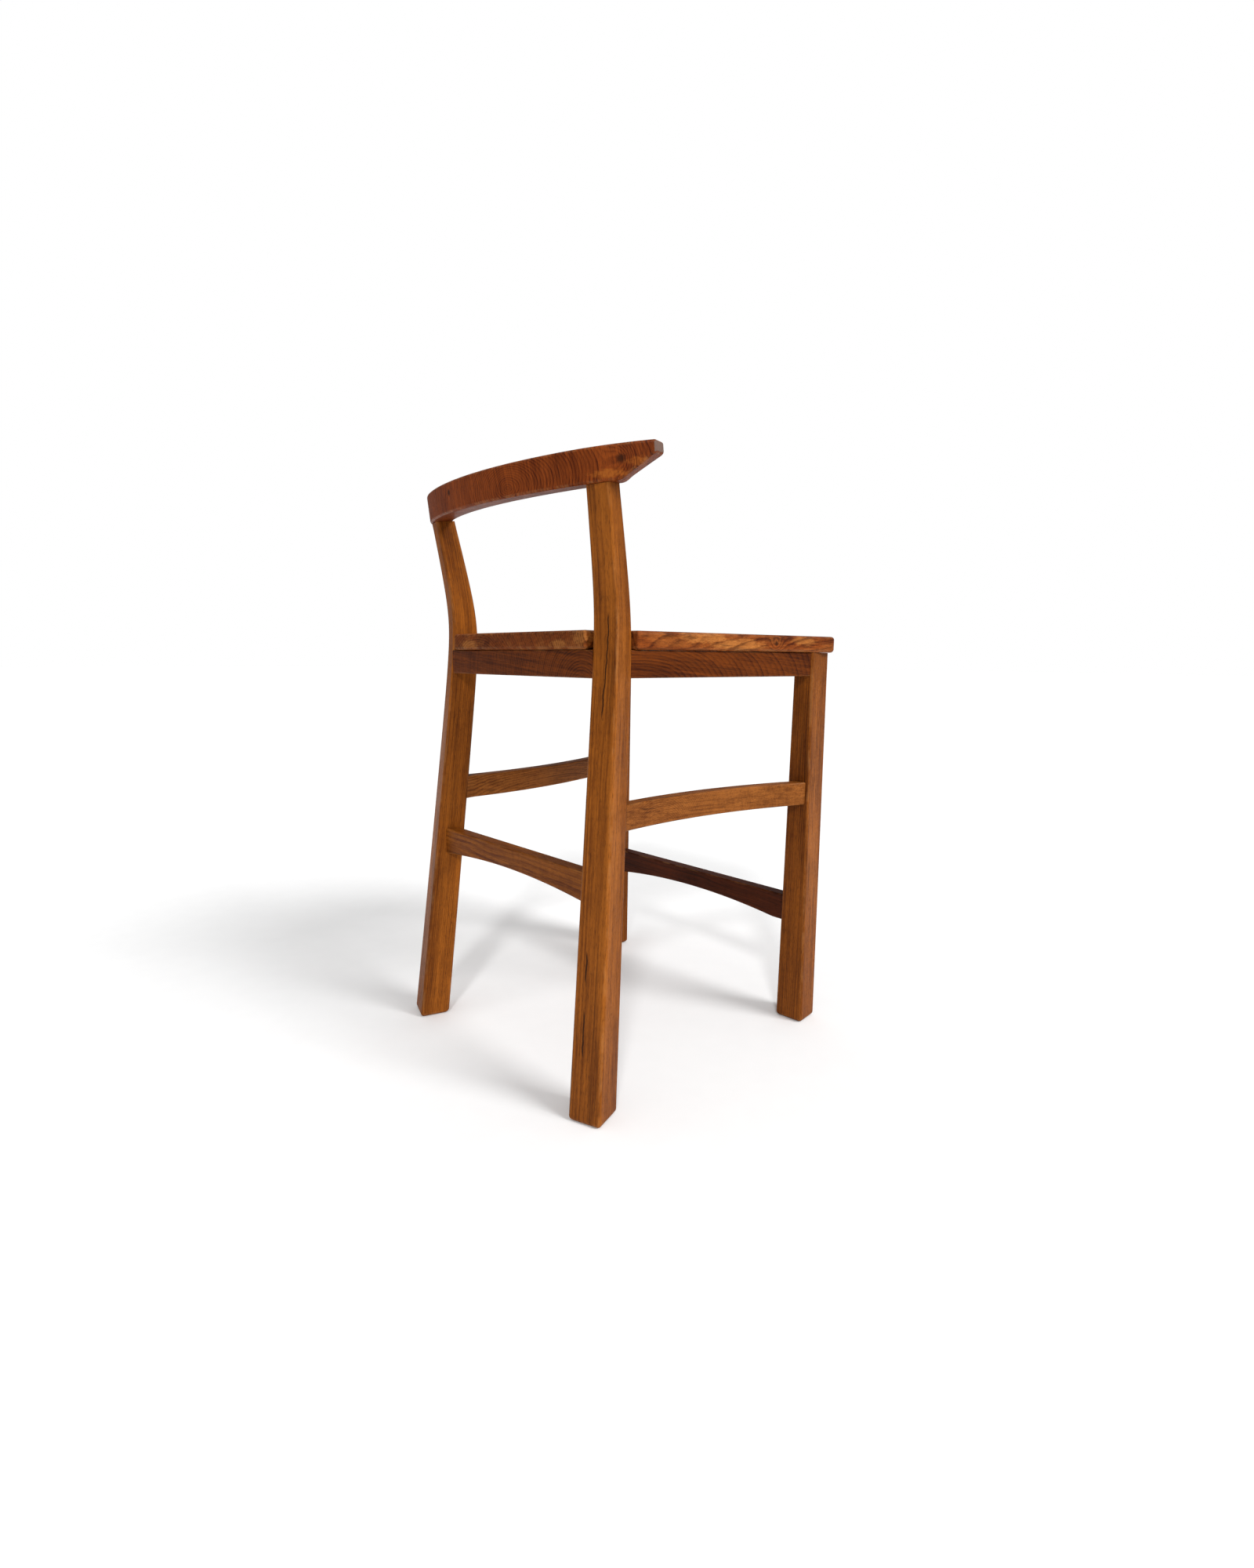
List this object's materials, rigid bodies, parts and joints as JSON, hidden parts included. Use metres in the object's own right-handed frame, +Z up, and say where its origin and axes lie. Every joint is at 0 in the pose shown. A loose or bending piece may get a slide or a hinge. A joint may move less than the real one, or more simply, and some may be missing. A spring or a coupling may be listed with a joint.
{
  "type": "counter stool",
  "caption": "Counter-height hardwood stool with tapered legs, low bowed crest rail on two raked posts, notched seat panel, aprons and shaped stretchers.",
  "frame": {"origin": "middle of the bounding box's footprint, on the floor", "axes": "+Z up, -Y towards the front edge of the seat, +X towards the sitter's left"},
  "size_m": [0.517, 0.5154, 0.8653],
  "materials": {
    "leg_wood": "oiled satin",
    "rail_wood": "oiled satin",
    "seat_wood": "oiled satin",
    "apron_wood": "oiled satin",
    "stretcher_wood": "oiled satin",
    "block_wood": "unfinished, planed",
    "screw_metal": "yellow zinc plated"
  },
  "bodies": {
    "root": {"rear_leg_left": "leg_wood", "front_leg_left": "leg_wood", "stretcher_left": "stretcher_wood", "apron_left": "apron_wood", "rear_leg_right": "leg_wood", "front_leg_right": "leg_wood", "stretcher_right": "stretcher_wood", "apron_right": "apron_wood", "apron_rear": "apron_wood", "stretcher_rear": "stretcher_wood", "apron_front": "apron_wood", "stretcher_front": "stretcher_wood", "crest_rail": "rail_wood", "seat_panel": "seat_wood", "corner_block_rear_left": "block_wood", "cross_screw_rear_left": "screw_metal", "side_screw_rear_left": "screw_metal", "seat_screw_rear_left": "screw_metal", "corner_block_rear_right": "block_wood", "cross_screw_rear_right": "screw_metal", "side_screw_rear_right": "screw_metal", "seat_screw_rear_right": "screw_metal", "corner_block_front_left": "block_wood", "cross_screw_front_left": "screw_metal", "side_screw_front_left": "screw_metal", "seat_screw_front_left": "screw_metal", "corner_block_front_right": "block_wood", "cross_screw_front_right": "screw_metal", "side_screw_front_right": "screw_metal", "seat_screw_front_right": "screw_metal"}
  },
  "joints": []
}
